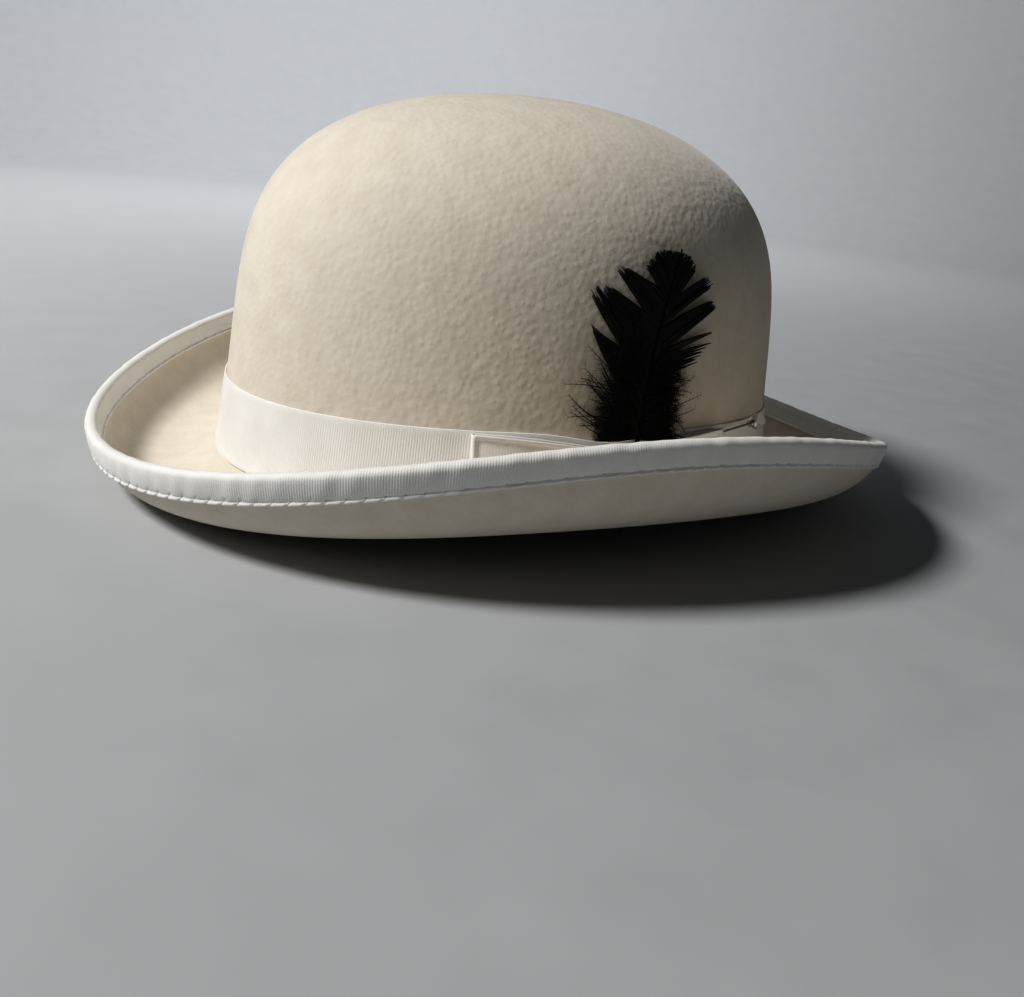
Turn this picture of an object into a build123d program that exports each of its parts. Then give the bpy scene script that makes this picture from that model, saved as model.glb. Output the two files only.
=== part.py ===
from build123d import *
import math
import os

# A bowler hat. The origin is the centre of the head opening, on the plane that the brim rests on.
# +Z is up, -Y is the front of the hat and +X is the wearer's left. Lengths are in millimetres.

# ---- felt
CROWN_HALF_LENGTH = 99.0
CROWN_HALF_WIDTH = 80.6
CROWN_HEIGHT = 119.4  # from the break, where the brim leaves the crown
CROWN_PLAN_POWER = 2.08  # 2 is a plain ellipse in the dome's profile, higher is squarer
CROWN_SIDE_POWER = 4.58  # how upright the crown's wall stays before it domes over
CROWN_FLARE = 0.06  # share by which the foot of the crown spreads
CROWN_FLARE_HEIGHT = 67.5
BREAK_RISE = 2.6  # the break is this much higher at the sides, and lower at front and back
FELT = 2.6

# ---- brim, seen as a strip that leaves the crown and curls up
BRIM_WIDTH = 51.4  # along the curl to the outside of the binding, midway between front and side
BRIM_WIDTH_CHANGE = -2.9  # at front and back, the opposite at the sides
BRIM_START_SLOPE = -15.7  # degrees from level
BRIM_START_CHANGE = -14.5
BRIM_END_SLOPE = 90.3
BRIM_END_CHANGE = 3.9
BRIM_CURL_POWER = 1.30  # 1 is a plain arc, higher keeps the curl near the edge
BRIM_CURL_CHANGE = 0.36
CURL_STEPS = 40
WALL_RINGS = (4, 14, 28)  # heights of the rings that shape the wall
DOME_FOOT = 42

# ---- ribbons, thread and lining
GAP = 0.10  # between neighbouring layers
RIBBON = 0.45
BRIM_EDGE = FELT / 2 + GAP + RIBBON  # from the middle of the felt's rounded edge to the binding's outside
BAND_HEIGHT = 24.0
BAND_FOOT = 0.6
PINCH_DEPTH = 3.0  # how far the bow's knot pulls the band down
PINCH_LENGTH = 15.0
BINDING_WIDTH = 8.2  # on each face of the brim, from the outermost edge
THREAD = 0.22  # radius
BINDING_SEAM_INSET = 1.0
TACK_ANGLES = (165, 200, 240, 280, 320)  # degrees, where stitches hold the hatband to the felt
TACK_FOOT = 2.6  # below the hatband's top edge
TACK_LENGTH = 1.6
LEATHER = 0.9
SWEATBAND_FOOT = 1.6
SWEATBAND_TOP = 46.0
SWEATBAND_RINGS = (12, 24, 35)
SWEATBAND_DEPTH = FELT + 0.6  # from the outside of the crown to the leather's hidden face
SWEATBAND_SEAM_HEIGHT = 3.4
REED = 0.9  # radius
REED_HEIGHT = -0.4
REED_TAPE = 0.25
REED_TAPE_TOP = 7.0
SEAM_TAPE_HALF_WIDTH = 5.0
INNER_BOW_HALF_LENGTH = 13.0  # the tiny bow at the sweatband's back seam
INNER_BOW_FOOT = 5.6
INNER_BOW_TOP = 12.6
INNER_BOW_THICKNESS = 1.5
INNER_BOW_WAIST = 0.34  # height at its middle over height at its ends
SATIN = 0.25
LINING_FOOT = 20.0
LINING_SEAM = 100.0
LINING_RINGS = (34, 48, 62, 75, 84, 93)
LINING_TIP_FOOT = 1.2  # above the seam
CORD = 0.7  # radius

# ---- side bow, pin and feather; fore-and-aft places are Y, heights are above the break
BOW_CENTRE = -5.0
KNOT_HALF_LENGTH = 4.6
KNOT_FOOT = 2.4
KNOT_TOP = 20.6
WING_LENGTH = 42.0
WING_ROOT = 3.2
WING_FRONT_BACK = (1.0, 1.0)  # from the crown to the back of the front wing, at its root and its end
WING_REAR_BACK = (2.7, 2.3)  # leaves room for the quill near the root, and for the pin
WING_ROOT_FACE = 3.9
WING_SWELL = 1.0  # fullness of the face between root and end
WING_END_DROP = 0.8  # the end lies this much closer to the crown than the root
WING_ROOT_LOW = 5.2  # the wings spread from these heights at the knot
WING_ROOT_HIGH = 19.6
WING_SPREAD_DOWN = 3.6
WING_SPREAD_UP = 4.0
KNOT_FACE = 5.1
PIN_PLACE = 26.0  # where the shaft lies closest to the hatband
PIN_HEIGHT = 20.2
PIN_TILT = 6.3
PIN_RADIUS = 0.35
PIN_LENGTH = 45.0
PIN_AHEAD = 16.7  # length of shaft ahead of that place
PIN_POINT = 7.0
PIN_HEAD = 2.6  # radius
PIN_COLLAR = 1.15  # radius
PIN_COLLAR_LENGTH = 1.6
PIN_COLLAR_LIP = 0.3  # how far the cup reaches up the ball
PIN_SHARPNESS = 0.05  # radius at the point
PIN_FIT = 0.02
QUILL_FOOT_PLACE = 0.6
QUILL_FOOT_HEIGHT = 7.0
QUILL_TOP_PLACE = 4.1
QUILL_TOP_HEIGHT = 23.0
QUILL_LENGTH = 72.0
QUILL_RADIUS = 0.8
QUILL_TIP_RADIUS = 0.25
QUILL_LEAN = 3.8  # how far the quill bends towards the front of the hat
QUILL_LEAN_LENGTH = 50.0  # the bend is complete at this distance from its foot
FEATHER_CURVE = 115.0  # radius to which the feather wraps round the crown
FEATHER_FACING = (10.0, 45.0)  # fore-and-aft place and height where the feather lies along the crown
VANE_THICKNESS = 0.6
VANE_FRONT_WIDTH = 25.0
VANE_REAR_WIDTH = 20.0
VANE_START = 39.0  # from the foot of the quill
DOWN_BEHIND = 0.5
DOWN_AHEAD = 2.9
DOWN_START = 17.4
DOWN_END = 38.0
DOWN_FRONT_WIDTH = 20.0
DOWN_REAR_WIDTH = 15.0
DOWN_FULLNESS = 0.7  # 1 is a plain oval outline, lower is fuller

AROUND = 32  # points in a ring that goes once round the hat
AROUND_BAND = 96  # the hatband's edge has a dip, which needs more
BACK = math.pi  # angles are counted from the front
DOME_STOP = math.radians(82)  # the last ring on the dome, from where it closes to a point
PAST = 20.0  # how far a cutting shape runs past what it cuts


# ---- the surfaces that every layer follows
def between_front_and_side(angle, middle, change):
    """A value that is middle + change at front and back, and middle - change at the sides."""
    return middle + change * math.cos(2 * angle)


def crown_share(height):
    """How much of the full oval is left at a height above the break."""
    dome = (1 - (max(height, 0) / CROWN_HEIGHT) ** CROWN_SIDE_POWER) ** (1 / CROWN_PLAN_POWER)
    spread = CROWN_FLARE * max(0.0, 1 - height / CROWN_FLARE_HEIGHT) ** 2
    return dome * (1 + spread)


def crown_outside(angle, height):
    share = crown_share(height)
    rise = between_front_and_side(angle, 0, -BREAK_RISE) * (1 - height / CROWN_HEIGHT)
    x = CROWN_HALF_WIDTH * share * math.sin(angle)
    y = -CROWN_HALF_LENGTH * share * math.cos(angle)
    return Vector(x, y, BREAK_LEVEL + height + rise)


def crown_normal(angle, height):
    step = 0.01
    along = crown_outside(angle + step, height) - crown_outside(angle - step, height)
    up = crown_outside(angle, height + step) - crown_outside(angle, height - step)
    return along.cross(up).normalized()


def crown_point(angle, height, outwards):
    return crown_outside(angle, height) + crown_normal(angle, height) * outwards


def brim_outwards(angle):
    """Level direction square to the oval."""
    x = CROWN_HALF_LENGTH * math.sin(angle)
    y = -CROWN_HALF_WIDTH * math.cos(angle)
    return Vector(x, y, 0).normalized()


def whole_width(angle):
    return between_front_and_side(angle, BRIM_WIDTH, BRIM_WIDTH_CHANGE)


def brim_width(angle):
    """Width of the felt as far as the middle of its rounded edge."""
    return whole_width(angle) - BRIM_EDGE


def brim_slope(angle, felt_share):
    """Slope in radians at a share of the felt's width, 0 at the crown and 1 at the edge."""
    share = felt_share * brim_width(angle) / whole_width(angle)
    start = between_front_and_side(angle, BRIM_START_SLOPE, BRIM_START_CHANGE)
    end = between_front_and_side(angle, BRIM_END_SLOPE, BRIM_END_CHANGE)
    power = between_front_and_side(angle, BRIM_CURL_POWER, BRIM_CURL_CHANGE)
    return math.radians(start + (end - start) * share**power)


def brim_reach_and_rise(angle, share):
    """Level distance from the crown, and height above the break, on the felt's top face."""
    step = share / CURL_STEPS
    slopes = [brim_slope(angle, step * (i + 0.5)) for i in range(CURL_STEPS)]
    length = brim_width(angle) * step
    return length * sum(map(math.cos, slopes)), length * sum(map(math.sin, slopes))


def brim_along(angle, share):
    slope = brim_slope(angle, share)
    return brim_outwards(angle) * math.cos(slope) + Vector(0, 0, math.sin(slope))


def brim_normal(angle, share):
    slope = brim_slope(angle, share)
    return Vector(0, 0, math.cos(slope)) - brim_outwards(angle) * math.sin(slope)


def brim_point(angle, share, upwards):
    reach, rise = brim_reach_and_rise(angle, share)
    face = crown_outside(angle, 0) + brim_outwards(angle) * reach + Vector(0, 0, rise)
    return face + brim_normal(angle, share) * upwards


def edge_point(angle, radius, turn):
    """Point on the rounded edge of the brim: turn 0 is the top face, and pi is the underside."""
    middle = brim_point(angle, 1, -FELT / 2)
    sideways = brim_normal(angle, 1) * math.cos(turn) + brim_along(angle, 1) * math.sin(turn)
    return middle + sideways * radius


def inner_break_point(angle):
    """Corner where the inside of the crown meets the underside of the brim."""
    wall = crown_normal(angle, 0)
    top = brim_normal(angle, 0)
    return crown_outside(angle, 0) - (wall + top) * (FELT / (1 + wall.dot(top)))


def lowest_point_of_front():
    rises = []
    for i in range(CURL_STEPS + 1):
        share = i / CURL_STEPS
        rise = brim_reach_and_rise(0, share)[1]
        rises.append(rise - FELT * math.cos(brim_slope(0, share)))
    return min(rises)


BREAK_LEVEL = BREAK_RISE - lowest_point_of_front()


# ---- ways to make a solid
def ring(place, count=AROUND):
    """Smooth closed curve once round the hat; place gives a point for an angle."""
    points = [place(2 * math.pi * i / count) for i in range(count)]
    steps = [float(i) for i in range(count + 1)]
    return Wire([Edge.make_spline(points, periodic=True, parameters=steps)])


def skin(rings, ruled=False):
    return Shell.make_loft(rings, ruled=ruled).faces()


def closed_solid(*skins):
    faces = [face for one_skin in skins for face in one_skin]
    return Solid(Shell(faces))


def sheet(outer_rings, inner_rings):
    """Solid between two stacks of rings, closed by a strip at both ends."""
    first = skin([outer_rings[0], inner_rings[0]], ruled=True)
    last = skin([outer_rings[-1], inner_rings[-1]], ruled=True)
    return closed_solid(skin(outer_rings), skin(inner_rings), first, last)


def crown_rings(heights, outwards):
    return [ring(lambda angle, h=h: crown_point(angle, h, outwards)) for h in heights]


def dome_heights(first, count):
    """Heights from first to just below the top, closer together where the wall domes over."""
    start = math.asin((first / CROWN_HEIGHT) ** (CROWN_SIDE_POWER / 2))
    turns = [start + (DOME_STOP - start) * i / (count - 1) for i in range(count)]
    return [CROWN_HEIGHT * math.sin(turn) ** (2 / CROWN_SIDE_POWER) for turn in turns]


def crown_top(outwards):
    return Vertex(0, 0, BREAK_LEVEL + CROWN_HEIGHT + outwards)


def cord(section_ring):
    """Round cord once round the hat; section_ring(turn) is the ring at one place on its section."""
    quarter = math.pi / 4
    upper = [section_ring(quarter * i) for i in range(5)]
    lower = [upper[-1]] + [section_ring(quarter * i) for i in (5, 6, 7)] + [upper[0]]
    return closed_solid(skin(upper), skin(lower))


def crown_cord_ring(height, depth, radius, turn):
    """Ring at one place on a round section: turn 0 faces the felt and 90 degrees is below."""

    def place(angle):
        up = height - radius * math.sin(turn)
        return crown_point(angle, up, radius * math.cos(turn) - depth)

    return ring(place)


def crown_cord(height, depth, radius):
    return cord(lambda turn: crown_cord_ring(height, depth, radius, turn))


def bar(sections):
    """Solid lofted through four-cornered sections."""
    return Solid.make_loft([Wire.make_polygon(corners) for corners in sections])


def rod(start, end, radius):
    return Solid.make_cylinder(radius, (end - start).length, Plane(start, z_dir=end - start))


def side_angle(place, height):
    """Angle on the wearer's left where the crown's outside has the given Y."""
    return math.acos(-place / (CROWN_HALF_LENGTH * crown_share(height)))


def side_point(place, height, outwards):
    return crown_point(side_angle(place, height), height, outwards)


def flat_section(angle, low, high, back, face):
    """Four corners, in one plane, of a piece that stands on the crown's wall at an angle."""
    middle = (low + high) / 2
    centre = crown_outside(angle, middle)
    outwards = crown_normal(angle, middle)
    up = (crown_outside(angle, middle + 1) - crown_outside(angle, middle - 1)).normalized()
    half = (high - low) / 2
    corners = [(-half, back), (-half, face), (half, face), (half, back)]
    return [centre + up * rise + outwards * depth for rise, depth in corners]


# ---- felt and what is sewn to its edge
def felt_body():
    heights = [*WALL_RINGS, *dome_heights(DOME_FOOT, 9)]
    outer_wall = crown_rings([0] + heights, 0)
    inner_corner = ring(inner_break_point)
    inner_wall = [inner_corner] + crown_rings(heights, -FELT)
    shares = [i / 8 for i in range(1, 8)]
    top = [ring(lambda angle, s=s: brim_point(angle, s, 0)) for s in shares]
    under = [ring(lambda angle, s=s: brim_point(angle, s, -FELT)) for s in shares]
    edge = [ring(lambda angle, t=t: edge_point(angle, FELT / 2, t)) for t in half_turn(4)]
    return closed_solid(
        skin(outer_wall + [crown_top(0)]),
        skin([outer_wall[0]] + top + [edge[0]]),
        skin(edge),
        skin([inner_corner] + under + [edge[-1]]),
        skin(inner_wall + [crown_top(-FELT)]),
    )


def half_turn(parts):
    return [math.pi * i / parts for i in range(parts + 1)]


def binding_share(angle, width):
    """Place on the brim at a distance in from the binding's outermost edge."""
    return 1 - (width - BRIM_EDGE) / brim_width(angle)


def binding_ring(width, upwards):
    return ring(lambda angle: brim_point(angle, binding_share(angle, width), upwards))


def binding_face(depth):
    """Skins of one face of the folded ribbon, and the rings at its two ends."""
    turn = [ring(lambda angle, t=t: edge_point(angle, FELT / 2 + depth, t)) for t in half_turn(4)]
    widths = [BINDING_WIDTH, (BINDING_WIDTH + BRIM_EDGE) / 2]
    top = [binding_ring(width, depth) for width in widths]
    under = [binding_ring(width, -FELT - depth) for width in widths]
    faces = skin(top + [turn[0]]) + skin(turn) + skin(under + [turn[-1]])
    return faces, top[0], under[0]


def brim_binding():
    outer, outer_top, outer_under = binding_face(GAP + RIBBON)
    inner, inner_top, inner_under = binding_face(GAP)
    top_end = skin([outer_top, inner_top], ruled=True)
    under_end = skin([outer_under, inner_under], ruled=True)
    return closed_solid(outer, inner, top_end, under_end)


def binding_stitches():
    """The thread that holds the binding: one line of sewing on each face of the brim."""
    clear = 2 * GAP + RIBBON + THREAD
    inset = BINDING_WIDTH - BINDING_SEAM_INSET
    lines = []
    for middle in (clear, -FELT - clear):

        def section_ring(turn, middle=middle):
            width = inset + THREAD * math.cos(turn)
            return binding_ring(width, middle + THREAD * math.sin(turn))

        lines.append(cord(section_ring))
    return Compound(lines)


def band_top(angle):
    """Height of the hatband's top edge, with the dip at the bow's knot."""
    distance = CROWN_HALF_LENGTH * (angle - side_angle(BOW_CENTRE, BAND_HEIGHT))
    return BAND_HEIGHT - PINCH_DEPTH * math.exp(-((distance / PINCH_LENGTH) ** 2))


def hatband():
    def face(outwards):
        def row(share):
            def place(angle):
                height = BAND_FOOT + share * (band_top(angle) - BAND_FOOT)
                return crown_point(angle, height, outwards)

            return ring(place, AROUND_BAND)

        return [row(share) for share in (0, 1 / 3, 2 / 3, 1)]

    return sheet(face(GAP + RIBBON), face(GAP))


def band_tacks():
    """Upright stitches that hold the hatband's top edge to the felt."""
    outwards = 2 * GAP + RIBBON + THREAD
    foot = BAND_HEIGHT - TACK_FOOT
    tacks = []
    for angle in map(math.radians, TACK_ANGLES):
        low = crown_point(angle, foot, outwards)
        high = crown_point(angle, foot + TACK_LENGTH, outwards)
        tacks.append(rod(low, high, THREAD))
    return Compound(tacks)


# ---- inside of the hat
def sweatband():
    heights = [SWEATBAND_FOOT, *SWEATBAND_RINGS, SWEATBAND_TOP]
    return sheet(
        crown_rings(heights, -SWEATBAND_DEPTH),
        crown_rings(heights, -SWEATBAND_DEPTH - LEATHER),
    )


def reed_depth():
    return FELT + GAP + REED_TAPE + GAP / 2 + REED


def sweatband_reed():
    return crown_cord(REED_HEIGHT, reed_depth(), REED)


def reed_tape():
    """Tape with a flat behind the leather and a fold round the underside of the reed."""
    outer_radius = REED + GAP / 2 + REED_TAPE
    inner_radius = REED + GAP / 2
    legs = []
    folds = []
    for radius in (outer_radius, inner_radius):
        fold = [crown_cord_ring(REED_HEIGHT, reed_depth(), radius, turn) for turn in half_turn(6)]
        heights = [REED_TAPE_TOP, (REED_TAPE_TOP + REED_HEIGHT) / 2]
        leg = crown_rings(heights, radius - reed_depth()) + [fold[0]]
        legs.append(leg)
        folds.append(fold)
    top = skin([legs[0][0], legs[1][0]], ruled=True)
    end = skin([folds[0][-1], folds[1][-1]], ruled=True)
    return closed_solid(*map(skin, legs), *map(skin, folds), top, end)


def sweatband_stitches():
    """The thread that sews the leather to its tape and to the felt."""
    depth = SWEATBAND_DEPTH + LEATHER + GAP + THREAD
    return crown_cord(SWEATBAND_SEAM_HEIGHT, depth, THREAD)


def back_patch(half_width, low, high, back, face, slim=1.0):
    """Curved piece at the middle of the back; slim is its height at the middle over that at the ends."""
    sections = []
    for i in range(-3, 4):
        share = abs(i) / 3
        angle = BACK + i / 3 * half_width / CROWN_HALF_WIDTH
        middle = (low + high) / 2
        half = (high - low) / 2 * (slim + (1 - slim) * share)
        sections.append(flat_section(angle, middle - half, middle + half, back, face))
    return bar(sections)


def sweatband_seam_tape():
    """Tape behind the butted ends of the leather, in the space between leather and felt."""
    low = REED_TAPE_TOP + 10 * GAP
    high = LINING_FOOT - 10 * GAP
    return back_patch(SEAM_TAPE_HALF_WIDTH, low, high, -FELT - GAP, -SWEATBAND_DEPTH + GAP)


def sweatband_bow():
    """Tiny flat bow at the foot of the leather's back seam."""
    back = -SWEATBAND_DEPTH - LEATHER - 2 * GAP
    face = back - INNER_BOW_THICKNESS
    return back_patch(INNER_BOW_HALF_LENGTH, INNER_BOW_FOOT, INNER_BOW_TOP, back, face, INNER_BOW_WAIST)


def lining_rings(heights):
    outer = -FELT - GAP
    return crown_rings(heights, outer), crown_rings(heights, outer - SATIN)


def lining_side():
    return sheet(*lining_rings([LINING_FOOT, *LINING_RINGS, LINING_SEAM]))


def lining_tip():
    outer, inner = lining_rings(dome_heights(LINING_SEAM + LINING_TIP_FOOT, 7))
    rim = skin([outer[0], inner[0]], ruled=True)
    outer_top = crown_top(-FELT - GAP)
    inner_top = crown_top(-FELT - GAP - SATIN)
    return closed_solid(skin(outer + [outer_top]), skin(inner + [inner_top]), rim)


def lining_cord():
    return crown_cord(LINING_SEAM, FELT + 2 * GAP + SATIN + CORD, CORD)


# ---- side bow
def bow_section(place, low, high, back, face):
    """Upright section of a bow piece at one fore-and-aft place."""
    return flat_section(side_angle(place, (low + high) / 2), low, high, back, face)


def wing_outline(share):
    """Foot and top of a wing, from its root in the knot (0) to its squared end (1)."""
    opening = math.sin(share * math.pi / 2)
    return WING_ROOT_LOW - WING_SPREAD_DOWN * opening, WING_ROOT_HIGH + WING_SPREAD_UP * opening


def wing_face(share):
    return WING_ROOT_FACE + WING_SWELL * math.sin(math.pi * share) - WING_END_DROP * share**2


def bow_wing(direction, backs):
    """Flattened loop of ribbon that leaves the knot towards the front (-1) or the back (+1)."""
    stations = 7
    outer = []
    hollow = []
    for i in range(stations):
        share = i / (stations - 1)
        low, high = wing_outline(share)
        back = backs[0] + (backs[1] - backs[0]) * share
        face = wing_face(share)
        distance = WING_ROOT + (WING_LENGTH - WING_ROOT) * share
        outer.append(bow_section(BOW_CENTRE + direction * distance, low, high, back, face))
        start = WING_ROOT - RIBBON
        distance = start + (WING_LENGTH - 2 * RIBBON - start) * share
        inside = (low - RIBBON, high + RIBBON, back + RIBBON, face - RIBBON)
        hollow.append(bow_section(BOW_CENTRE + direction * distance, *inside))
    return bar(outer) - bar(hollow)


def bow_knot():
    """Ribbon wrapped over the roots of the wings: a channel that is open towards the hatband."""

    def block(half_length, low, high, back, face):
        places = [BOW_CENTRE + half_length * i / 2 for i in (-2, -1, 0, 1, 2)]
        return bar([bow_section(place, low, high, back, face) for place in places])

    outer = block(KNOT_HALF_LENGTH, KNOT_FOOT, KNOT_TOP, 3 * GAP + RIBBON, KNOT_FACE)
    cut = KNOT_HALF_LENGTH + RIBBON
    pocket = block(cut, KNOT_FOOT + RIBBON, KNOT_TOP - RIBBON, 0, KNOT_FACE - RIBBON)
    return outer - pocket


# ---- hat pin
def pin_axis():
    """Place where the pin lies on the hatband, and the direction from its point to its head."""
    angle = side_angle(PIN_PLACE, PIN_HEIGHT)
    place = crown_point(angle, PIN_HEIGHT, RIBBON + 3 * GAP + PIN_RADIUS)
    rearwards = crown_outside(angle + 0.01, PIN_HEIGHT) - crown_outside(angle - 0.01, PIN_HEIGHT)
    level = Vector(rearwards.X, rearwards.Y, 0).normalized()
    tilt = math.radians(PIN_TILT)
    return place, level * math.cos(tilt) + Vector(0, 0, math.sin(tilt))


def pin_place(distance):
    """Point on the pin's axis at a distance from its sharp end."""
    place, direction = pin_axis()
    return place + direction * (distance - PIN_AHEAD)


def pin_shaft():
    direction = pin_axis()[1]
    point = Solid.make_cone(PIN_SHARPNESS, PIN_RADIUS, PIN_POINT, Plane(pin_place(0), z_dir=direction))
    return point + rod(pin_place(PIN_POINT), pin_place(PIN_LENGTH), PIN_RADIUS)


def pin_head_centre():
    return pin_place(PIN_LENGTH + PIN_COLLAR_LENGTH / 2 + PIN_HEAD)


def pin_collar():
    """Small cup that the ball sits in, with a blind hole for the shaft."""
    start = PIN_LENGTH - PIN_COLLAR_LENGTH / 2
    cup = rod(pin_place(start), pin_place(start + PIN_COLLAR_LENGTH + PIN_COLLAR_LIP), PIN_COLLAR)
    seat = Sphere(PIN_HEAD + PIN_FIT).solid().moved(Location(pin_head_centre()))
    hole = rod(pin_place(start - PIN_FIT), pin_place(PIN_LENGTH + PIN_FIT), PIN_RADIUS + PIN_FIT)
    return cup - seat - hole


def pin_head():
    return Sphere(PIN_HEAD).solid().moved(Location(pin_head_centre()))


# ---- feather, modelled on a plane whose Y runs up the quill and whose X points to the back
def feather_plane():
    outwards = RIBBON + 3 * GAP + QUILL_RADIUS
    foot = side_point(QUILL_FOOT_PLACE, QUILL_FOOT_HEIGHT, outwards)
    top = side_point(QUILL_TOP_PLACE, QUILL_TOP_HEIGHT, outwards)
    up = (top - foot).normalized()
    place, height = FEATHER_FACING
    facing = crown_normal(side_angle(place, height), height)
    away = (facing - up * facing.dot(up)).normalized()
    return Plane(foot, x_dir=up.cross(away), z_dir=away)


def curved_slab(low, high):
    """Space between two depths from the quill's middle, wrapped round the crown."""
    plane = feather_plane()
    centre = plane.origin - plane.z_dir * FEATHER_CURVE
    middle = Plane(centre - plane.y_dir * PAST, z_dir=plane.y_dir)
    length = QUILL_LENGTH + 2 * PAST
    outer = Solid.make_cylinder(FEATHER_CURVE + high, length, middle)
    inner = Solid.make_cylinder(FEATHER_CURVE + low, length, middle)
    return outer - inner


def quill_lean(up):
    """Sideways place of the quill's middle at a distance up from its foot."""
    share = min(up / QUILL_LEAN_LENGTH, 1)
    return -QUILL_LEAN * (1 - math.cos(math.pi * share)) / 2


def quill_solid(clearance):
    plane = feather_plane()
    stations = 8
    circles = []
    for i in range(stations + 1):
        up = QUILL_LENGTH * i / stations
        radius = QUILL_RADIUS + (QUILL_TIP_RADIUS - QUILL_RADIUS) * i / stations + clearance
        middle = plane.from_local_coords(Vector(quill_lean(up), up, 0))
        circles.append(Wire.make_circle(radius, Plane(middle, x_dir=plane.x_dir, z_dir=plane.y_dir)))
    return Solid.make_loft(circles)


def feather_quill():
    return quill_solid(0)


def leaf(points):
    """Smooth outline on the feather's plane that starts and ends beside the quill, as a thick slab."""
    plane = feather_plane()
    path = [plane.from_local_coords(Vector(x, y, 0)) for x, y in points]
    side = Edge.make_spline(path)
    chord = Edge.make_line(path[-1], path[0])
    face = Face(Wire([side, chord]))
    return Solid.extrude(face.moved(Location(plane.z_dir * -PAST)), plane.z_dir * 2 * PAST)


def vane(direction, width):
    """Barbs on one side of the quill, as one thin curved leaf."""
    reach = [(0.0, 0.0), (0.5, 0.22), (1.0, 0.55), (0.72, 0.78), (0.3, 0.95), (0.0, 1.0)]
    length = QUILL_LENGTH - QUILL_TIP_RADIUS - VANE_START
    clear = QUILL_RADIUS + GAP
    outline = []
    for x, y in reach:
        up = VANE_START + length * y
        outline.append((quill_lean(up) + direction * (clear + width * x), up))
    return leaf(outline) & curved_slab(-VANE_THICKNESS / 2, VANE_THICKNESS / 2)


def feather_down():
    """Fluffy barbs at the foot of the feather, as one soft pad with a way through for the quill."""
    middle = (DOWN_START + DOWN_END) / 2
    half = (DOWN_END - DOWN_START) / 2
    turns = [math.pi * (i / 8 - 0.5) for i in range(9)]
    pads = []
    for width in (-DOWN_FRONT_WIDTH, DOWN_REAR_WIDTH):
        outline = [(width * math.cos(turn) ** DOWN_FULLNESS, middle + half * math.sin(turn)) for turn in turns]
        pads.append(leaf(outline) & curved_slab(-DOWN_BEHIND, DOWN_AHEAD))
    return pads[0] + pads[1] - quill_solid(GAP)


# ---- hand out the pieces
PARTS = {
    "felt_body": felt_body,
    "brim_binding": brim_binding,
    "binding_stitches": binding_stitches,
    "hatband": hatband,
    "band_tacks": band_tacks,
    "sweatband": sweatband,
    "sweatband_reed": sweatband_reed,
    "reed_tape": reed_tape,
    "sweatband_stitches": sweatband_stitches,
    "sweatband_seam_tape": sweatband_seam_tape,
    "sweatband_bow": sweatband_bow,
    "lining_side": lining_side,
    "lining_tip": lining_tip,
    "lining_cord": lining_cord,
    "bow_front_wing": lambda: bow_wing(-1, WING_FRONT_BACK),
    "bow_rear_wing": lambda: bow_wing(1, WING_REAR_BACK),
    "bow_knot": bow_knot,
    "pin_shaft": pin_shaft,
    "pin_collar": pin_collar,
    "pin_head": pin_head,
    "feather_quill": feather_quill,
    "feather_front_vane": lambda: vane(-1, VANE_FRONT_WIDTH),
    "feather_rear_vane": lambda: vane(1, VANE_REAR_WIDTH),
    "feather_down": feather_down,
}

os.makedirs("parts", exist_ok=True)
for node, make in PARTS.items():
    export_step(make(), f"parts/{node}.step")
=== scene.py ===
import math

import bpy
import numpy as np
from mathutils import Matrix, Vector


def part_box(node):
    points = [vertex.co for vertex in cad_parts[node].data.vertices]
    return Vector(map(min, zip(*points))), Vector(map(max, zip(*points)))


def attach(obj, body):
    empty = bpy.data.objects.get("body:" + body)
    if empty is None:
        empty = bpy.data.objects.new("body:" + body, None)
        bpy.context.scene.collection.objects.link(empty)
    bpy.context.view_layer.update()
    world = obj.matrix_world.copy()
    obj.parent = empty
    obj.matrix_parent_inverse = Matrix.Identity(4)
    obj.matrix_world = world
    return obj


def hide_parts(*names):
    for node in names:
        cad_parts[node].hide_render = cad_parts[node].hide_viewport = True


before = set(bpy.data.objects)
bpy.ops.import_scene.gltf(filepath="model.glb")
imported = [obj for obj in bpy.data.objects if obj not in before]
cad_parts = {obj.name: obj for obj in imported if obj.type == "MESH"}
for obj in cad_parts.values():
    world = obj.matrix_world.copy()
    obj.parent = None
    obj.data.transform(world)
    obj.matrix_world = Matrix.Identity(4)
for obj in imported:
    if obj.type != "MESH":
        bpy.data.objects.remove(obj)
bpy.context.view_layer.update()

random = np.random.default_rng(7)

# The hat's lengths are millimetres until its meshes are made, and the stage's are metres. The axes are the
# CAD's: +Z up, -Y front, +X wearer's left.
MM = 0.001

# ---- the hat's driving dimensions, the same as in the CAD
CROWN_HALF_LENGTH = 99.0
CROWN_HALF_WIDTH = 80.6
CROWN_HEIGHT = 119.4
CROWN_PLAN_POWER = 2.08
CROWN_SIDE_POWER = 4.58
CROWN_FLARE = 0.06
CROWN_FLARE_HEIGHT = 67.5
BREAK_RISE = 2.6
FELT = 2.6
BRIM_WIDTH = (51.4, -2.9)  # middle value, and change at front and back
BRIM_START_SLOPE = (-15.7, -14.5)
BRIM_END_SLOPE = (90.3, 3.9)
BRIM_CURL_POWER = (1.30, 0.36)
CURL_STEPS = 40
GAP = 0.10
RIBBON = 0.45
BRIM_EDGE = FELT / 2 + GAP + RIBBON  # from the middle of the felt's rounded edge to the binding's outside
BAND_HEIGHT = 24.0
BAND_FOOT = 0.6
PINCH_DEPTH = 3.0
PINCH_LENGTH = 15.0
BINDING_WIDTH = 8.2
LEATHER = 0.9
SWEATBAND_DEPTH = FELT + 0.6
SWEATBAND_FOOT = 1.6
SWEATBAND_TOP = 46.0
SATIN = 0.25
LINING_FOOT = 20.0
LINING_SEAM = 100.0
CORD = 0.7
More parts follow.
